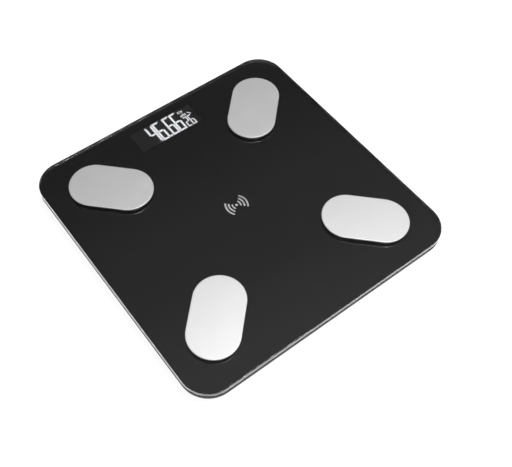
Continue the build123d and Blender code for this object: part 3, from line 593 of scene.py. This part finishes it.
maskLook = {
    "shader": {"Coat Weight": 0.3, "Coat Roughness": 0.15},
    "lanes": {
        "Scale": 160, "Mortar Size": 0.06, "Color1": (0.006, 0.085, 0.03, 1),
        "Color2": (0.008, 0.10, 0.036, 1), "Mortar": (0.02, 0.20, 0.075, 1),
    },
    "patch": 0.0012,
    "rough": (0.25, 0.4),
    "raised": 0.2,
    "depth": 0.00003,
}


def solderMask(look):
    # copper runs show as lighter lanes under the lacquer
    finish, tree, shader, place = startFinish("solderMask", look["shader"])
    lanes = tree.nodes.new("ShaderNodeTexBrick")
    for label, value in look["lanes"].items():
        lanes.inputs[label].default_value = value
    tree.links.new(place, lanes.inputs["Vector"])
    tree.links.new(lanes.outputs["Color"], shader.inputs["Base Color"])
    skin = useGroup(tree, "mouldGrain", place, {"Size": look["patch"]})
    spreadRoughness(tree, skin["Tone"], look["rough"], shader)
    raiseSurface(tree, shader, lanes.outputs["Fac"], look["raised"], look["depth"])
    return finish


sleeveLook = {
    "shader": {"Coat Weight": 0.4, "Coat Roughness": 0.12},
    "marks": {"Size": 0.01, "Cover": 0.5},
    "metal": (0.7, 0.7, 0.68),
    "blue": (0.03, 0.09, 0.22),
    "silver": (0.62, 0.63, 0.64),
    "bands": ((0.0, "metal"), (0.06, "blue"), (0.3, "silver"), (0.34, "blue"),
              (0.66, "silver"), (0.7, "blue"), (0.94, "metal")),
    "halfLength": 23.5 * mm,   # the bands are spread over this, either way along X
    "rough": (0.25, 0.4),
}


def batterySleeve(look):
    # plain printed bands run round the cells: bare metal at the outer ends, two silver stripes
    finish, tree, shader, place = startFinish("batterySleeve", look["shader"])
    bands = addRamp(tree, [(at, look[colour]) for at, colour in look["bands"]])
    bands.color_ramp.interpolation = "CONSTANT"
    half = look["halfLength"]
    tree.links.new(addRange(tree, addParts(tree, place)["X"], -half, half, 0, 1), bands.inputs["Fac"])
    tree.links.new(bands.outputs["Color"], shader.inputs["Base Color"])
    marks = useGroup(tree, "handMarks", place, look["marks"])
    spreadRoughness(tree, marks["Smear"], look["rough"], shader)
    return finish


adhesiveLook = {
    "shader": {"Transmission Weight": 0.6, "IOR": 1.47},
    "patch": 0.0015,
    "darkest": (0.5, 0.5, 0.48),
    "lightest": (0.62, 0.62, 0.6),
    "rough": (0.25, 0.45),
}


def clearAdhesive(look):
    finish, tree, shader, place = startFinish("clearAdhesive", look["shader"])
    skin = useGroup(tree, "mouldGrain", place, {"Size": look["patch"]})
    blendColours(tree, skin["Tone"], look["darkest"], look["lightest"], shader.inputs["Base Color"])
    spreadRoughness(tree, skin["Tone"], look["rough"], shader)
    return finish


finishes = {
    "clear_glass": clearGlass(glassLook),
    "black_coating": blackCoating(coatingLook),
    "smoked_window": smokedWindow(windowLook),
    "mark_ink": screenInk(inkLook),
    "electrode_steel": workedMetal("electrodeSteel", (0.78, 0.78, 0.778), rough=0.57, pitch=0.00022,
                                   stretch=40, turn=90, depth=0.000004, spread=0.03),
    "clear_adhesive": clearAdhesive(adhesiveLook),
    "fibre": mouldedPlastic("vulcanFibre", (0.30, 0.09, 0.05), rough=0.75, grain=0.0006, spread=0.3),
    "tinned_brass": workedMetal("tinnedBrass", (0.74, 0.69, 0.58), rough=0.3, pitch=0.0002, stretch=12),
    "plated_steel": workedMetal("platedSteel", (0.72, 0.72, 0.70), rough=0.2, pitch=0.0002, stretch=8),
    "black_foam": foamTape(foamLook),
    "base_plastic": mouldedPlastic("basePlastic", (0.007, 0.007, 0.0071), rough=0.6, grain=0.00035,
                                   extra={"Specular IOR Level": 0.15}),
    "foot_plastic": mouldedPlastic("footPlastic", (0.022, 0.022, 0.022), rough=0.42, grain=0.0003),
    "foot_rubber": footRubber(rubberLook),
    "cell_steel": workedMetal("cellSteel", (0.50, 0.50, 0.49), rough=0.38, pitch=0.0004, stretch=30),
    "gauge_foil": mouldedPlastic("gaugeFoil", (0.55, 0.30, 0.08), rough=0.35, grain=0.0005, spread=0.35),
    "white_sealant": mouldedPlastic("whiteSealant", (0.80, 0.80, 0.77), rough=0.4, grain=0.002,
                                    depth=0.0001, spread=0.05),
    "lead_grey": mouldedPlastic("greyLead", (0.26, 0.26, 0.27), rough=0.5, grain=0.0008, spread=0.1),
    "lead_black": mouldedPlastic("blackLead", (0.018, 0.018, 0.018), rough=0.5, grain=0.0008),
    "lead_red": mouldedPlastic("redLead", (0.45, 0.015, 0.015), rough=0.5, grain=0.0008, spread=0.12),
    "battery_sleeve": batterySleeve(sleeveLook),
    "circuit_board": solderMask(maskLook),
    "white_plastic": mouldedPlastic("whiteNylon", (0.76, 0.75, 0.70), rough=0.45, grain=0.0005, spread=0.06),
    "chip_plastic": mouldedPlastic("chipEpoxy", (0.02, 0.02, 0.021), rough=0.6, grain=0.00025),
    "shield_tin": workedMetal("shieldTin", (0.62, 0.63, 0.62), rough=0.28, pitch=0.0003, stretch=20),
    "component_ceramic": mouldedPlastic("chipCeramic", (0.42, 0.31, 0.20), rough=0.4, grain=0.0004),
    "reflector_plastic": mouldedPlastic("reflectorFace", (0.21, 0.21, 0.212), rough=0.6, grain=0.0004),
    "lit_light_guide": glowingGuide(guideLook),
    "dark_light_guide": mouldedPlastic("darkGuide", (0.20, 0.20, 0.202), rough=0.5, grain=0.001),
    "button_plastic": mouldedPlastic("buttonPlastic", (0.045, 0.045, 0.047), rough=0.4, grain=0.0003),
}


def dressCadNodes():
    slots = {part["node"]: part["material_slot"] for part in frame["record"]["subparts"]}
    for nodeName, cadPiece in frame["nodes"].items():
        layers = cadPiece.data.materials
        if not layers:
            layers.append(None)
        for index in range(len(layers)):
            layers[index] = finishes[slots[nodeName]]


def dress(piece, slotName, body, *nodes):
    piece.data.materials.clear()
    piece.data.materials.append(finishes[slotName])
    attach(piece, body)
    if nodes:
        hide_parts(*nodes)
    clearSelection()


dressCadNodes()
print("finishes ready,", len(finishes))


# Glass platform: one thick clear plate with softened rims

glassShape = {
    "cornerRadius": 26.8 * mm,
    "cornerSteps": 30,
    "arris": 0.7 * mm,
    "arrisSteps": 3,
    "filmGap": 0.03 * mm,      # air left over the coating
    "studHole": 2.0 * mm,      # radius
    "holeSides": 48,
    "drillReach": 4,           # the drill's length, in thicknesses of the glass
    "smoothTo": 40,            # degrees
}


def makeGlass(shape):
    low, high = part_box("glass_platform")
    bottom = low.z + shape["filmGap"]
    thickness = high.z - bottom
    middle = (bottom + high.z) / 2
    clearSelection()
    bpy.ops.mesh.primitive_cube_add(size=1, location=(0, 0, middle),
                                    scale=(high.x - low.x, high.y - low.y, thickness))
    plate = nameNew("glassSlab")
    bakePlace()
    pickEdges(plate, standsUpright)
    roundPicked(shape["cornerRadius"], shape["cornerSteps"])
    for height in (bottom, high.z):
        pickEdges(plate, liesAt(height))
        roundPicked(shape["arris"], shape["arrisSteps"])
    for cadName, _, _ in corners.values():
        x, y = middleOf("electrode_" + cadName)
        clearSelection()
        bpy.ops.mesh.primitive_cylinder_add(vertices=shape["holeSides"], radius=shape["studHole"],
                                            depth=shape["drillReach"] * thickness, location=(x, y, middle))
        applyBoolean(plate, bpy.context.object, "DIFFERENCE")
    finishSurface(plate, shape["smoothTo"])
    dress(plate, "clear_glass", "scale_body", "glass_platform")


makeGlass(glassShape)
print("glass ready")


# Electrodes: pressed steel plates with round ends, a rolled upper edge and a stud underneath

electrodeShape = {
    "length": 79.8 * mm,
    "width": 47.2 * mm,
    "thickness": 1.3 * mm,
    "turn": 45,                # degrees, and mirrored on the other diagonal
    "endSteps": 28,
    "rolledEdge": 0.55 * mm,
    "rolledSteps": 5,
    "studRadius": 1.5 * mm,
    "studSides": 32,
    "smoothTo": 40,
}


def makeElectrodes(shape):
    low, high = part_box("electrode_front_right")
    middle = high.z - shape["thickness"] / 2
    clearSelection()
    bpy.ops.mesh.primitive_cube_add(size=1, location=(0, 0, middle),
                                    scale=(shape["length"], shape["width"], shape["thickness"]))
    plate = nameNew("electrodePlate")
    bakePlace()
    pickEdges(plate, standsUpright)
    roundPicked(shape["width"] / 2, shape["endSteps"])
    mergeDoubles(2 * hairline)     # the two rounds of each end meet in its middle
    bpy.ops.object.mode_set(mode="OBJECT")
    pickEdges(plate, liesAt(high.z))
    roundPicked(shape["rolledEdge"], shape["rolledSteps"])
    clearSelection()
    # the stud reaches up to the middle of the plate
    bpy.ops.mesh.primitive_cylinder_add(vertices=shape["studSides"], radius=shape["studRadius"],
                                        depth=middle - low.z, location=(0, 0, (middle + low.z) / 2))
    applyBoolean(plate, bpy.context.object, "UNION")
    finishSurface(plate, shape["smoothTo"])
    for corner, (cadName, xSide, ySide) in corners.items():
        turn = shape["turn"] if xSide == ySide else 180 - shape["turn"]
        copy = copyPiece(plate, "electrode" + corner, middleOf("electrode_" + cadName), turn)
        dress(copy, "electrode_steel", "scale_body", "electrode_" + cadName)
    bpy.data.objects.remove(plate)


makeElectrodes(electrodeShape)
print("electrodes ready")


# Foot pads: soft rubber discs with a rounded rim and three tread rings

footPadShape = {
    "sides": 96,
    "rimRound": 0.5 * mm,
    "rimSteps": 4,
    "rings": ((14.2, 12.9), (10.4, 9.0), (6.2, 5.0)),      # outer and inner radius of each groove, mm
    "ringDepth": 0.6 * mm,
    "smoothTo": 35,
}


downward = -0.9                # the Z of a normal that points down


def facesDown(bottom, radius, slack):
    # faces on the underside whose middles lie about this far from the axis
    return lambda centre, normal: (normal.z < downward and centre.z < bottom + nearby
                                   and abs(centre.xy.length - radius) < slack)


def cutRing(pad, current, outer, inner, bottom, depth):
    # current is the radius of the face in the middle of the underside
    pickFaces(pad, facesDown(bottom, 0, mm))
    bpy.ops.mesh.inset(thickness=current - outer)
    bpy.ops.mesh.inset(thickness=outer - inner)
    bpy.ops.object.mode_set(mode="OBJECT")
    pickFaces(pad, facesDown(bottom, (outer + inner) / 2, mm / 2))
    bpy.ops.mesh.extrude_region_move(TRANSFORM_OT_translate={"value": (0, 0, depth)})
    bpy.ops.object.mode_set(mode="OBJECT")


def makeFootPads(shape):
    low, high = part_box("foot_pad_front_right")
    radius = (high.x - low.x) / 2
    clearSelection()
    bpy.ops.mesh.primitive_cylinder_add(vertices=shape["sides"], radius=radius, depth=high.z - low.z,
                                        location=(0, 0, (high.z + low.z) / 2))
    pad = nameNew("footPad")
    bakePlace()
    current = radius
    for outer, inner in shape["rings"]:
        cutRing(pad, current, outer * mm, inner * mm, low.z, shape["ringDepth"])
        current = inner * mm
    onFloor = liesAt(low.z)
    pickEdges(pad, lambda a, b: onFloor(a, b) and min(a.xy.length, b.xy.length) > radius - nearby)
    roundPicked(shape["rimRound"], shape["rimSteps"])
    finishSurface(pad, shape["smoothTo"])
    for corner, (cadName, _, _) in corners.items():
        copy = copyPiece(pad, "footPad" + corner, middleOf("foot_pad_" + cadName))
        dress(copy, "foot_rubber", "foot_" + cadName, "foot_pad_" + cadName)
    bpy.data.objects.remove(pad)


makeFootPads(footPadShape)
print("foot pads ready")


# Battery door arrow: a low moulded triangle that shows which edge to press

arrowShape = {
    "radius": 4.2 * mm,
    "proud": 0.35 * mm,
    "sink": 0.3 * mm,
    "edge": 0.15 * mm,
    "edgeSteps": 3,
    "fromLatch": 9.0 * mm,
    "smoothTo": 40,
}


def makeDoorArrow(shape):
    low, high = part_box("battery_door")
    face = low.z - shape["proud"]
    depth = shape["proud"] + shape["sink"]
    clearSelection()
    bpy.ops.mesh.primitive_cylinder_add(vertices=3, radius=shape["radius"], depth=depth,
                                        location=(0, high.y - shape["fromLatch"], face + depth / 2))
    arrow = nameNew("doorArrow")
    bakePlace()
    pickEdges(arrow, lambda a, b: liesAt(face)(a, b) or standsUpright(a, b))
    roundPicked(shape["edge"], shape["edgeSteps"])
    finishSurface(arrow, shape["smoothTo"])
    dress(arrow, "base_plastic", "battery_door")


makeDoorArrow(arrowShape)
print("door arrow ready")


# Floor, sky and lamp

studio = {
    "floorSize": 9.0,
    "floorDrop": 0.2 * mm,
    "floorTone": 0.25,
    "floorMottle": 0.01,
    "floorNoise": (3, 2, 0.5), # scale, detail and roughness
    "floorGlow": 1.8,          # what the object is lit by
    "floorSeen": 0.91,         # what the camera sees
    "wallStops": ((0.0, 1.0), (0.2, 0.6), (0.45, 0.0), (1.0, 0.0)),
    "ceilingStops": ((0.0, 0.11), (0.30, 0.11), (0.35, 0.13), (0.45, 0.18),
                     (0.55, 0.21), (0.65, 0.29), (1.0, 0.42)),
    "ceilingLean": 0.8,
    "lampPlace": (0.22, -0.51, 1.6),
    "lampSize": 0.7,
    "lampPower": 27,
}


def makeFloor(setup):
    clearSelection()
    bpy.ops.mesh.primitive_plane_add(size=setup["floorSize"], location=(0, 0, -setup["floorDrop"]))
    floor = nameNew("studioFloor")
    finish, tree, shader, place = startFinish("floorPaint", {
        "Roughness": 0.9, "Specular IOR Level": 0.1, "Emission Color": (1, 1, 1, 1),
    })
    path = tree.nodes.new("ShaderNodeLightPath")
    glow = addRange(tree, path.outputs["Is Camera Ray"], 0, 1, setup["floorGlow"], setup["floorSeen"])
    tree.links.new(glow, shader.inputs["Emission Strength"])
    tone = setup["floorTone"]
    mottle = addNoise(tree, place, *setup["floorNoise"])
    blendColours(tree, mottle, grey(tone * (1 - setup["floorMottle"])), grey(tone),
                 shader.inputs["Base Color"])
    floor.data.materials.append(finish)
    clearSelection()


def makeSky(setup):
    # bright walls near the floor, and a ceiling that brightens towards the front
    sky = bpy.data.worlds.new("studioSky")
    sky.use_nodes = True
    bpy.context.scene.world = sky
    tree = sky.node_tree
    place = tree.nodes.new("ShaderNodeTexCoord")
    parts = addParts(tree, place.outputs["Generated"])
    # a ramp holds no more than 1, so the background's strength carries the brightest tone
    brightest = max(tone for _, tone in setup["wallStops"] + setup["ceilingStops"])
    walls = addRamp(tree, [(at, grey(tone / brightest)) for at, tone in setup["wallStops"]])
    ceiling = addRamp(tree, [(at, grey(tone / brightest)) for at, tone in setup["ceilingStops"]])
    tree.links.new(parts["Z"], walls.inputs["Fac"])
    lean = addMaths(tree, "MULTIPLY", parts["Y"], setup["ceilingLean"])
    tree.links.new(addMaths(tree, "SUBTRACT", parts["Z"], lean), ceiling.inputs["Fac"])
    both = tree.nodes.new("ShaderNodeMix")
    both.data_type = "RGBA"
    both.blend_type = "LIGHTEN"
    both.inputs["Factor"].default_value = 1
    tree.links.new(walls.outputs["Color"], both.inputs[colourA])
    tree.links.new(ceiling.outputs["Color"], both.inputs[colourB])
    tree.links.new(both.outputs[colourOut], tree.nodes["Background"].inputs["Color"])
    tree.nodes["Background"].inputs["Strength"].default_value = brightest


def makeLamp(setup):
    place = Vector(setup["lampPlace"])
    aim = place.to_track_quat("Z", "Y").to_euler()
    bpy.ops.object.light_add(type="AREA", location=place, rotation=aim)
    lamp = bpy.context.object
    lamp.name = "overheadSoftbox"
    lamp.data.shape = "DISK"
    lamp.data.size = setup["lampSize"]
    lamp.data.energy = setup["lampPower"]


makeFloor(studio)
makeSky(studio)
makeLamp(studio)
bpy.context.scene.view_settings.view_transform = "Standard"
print("studio ready")
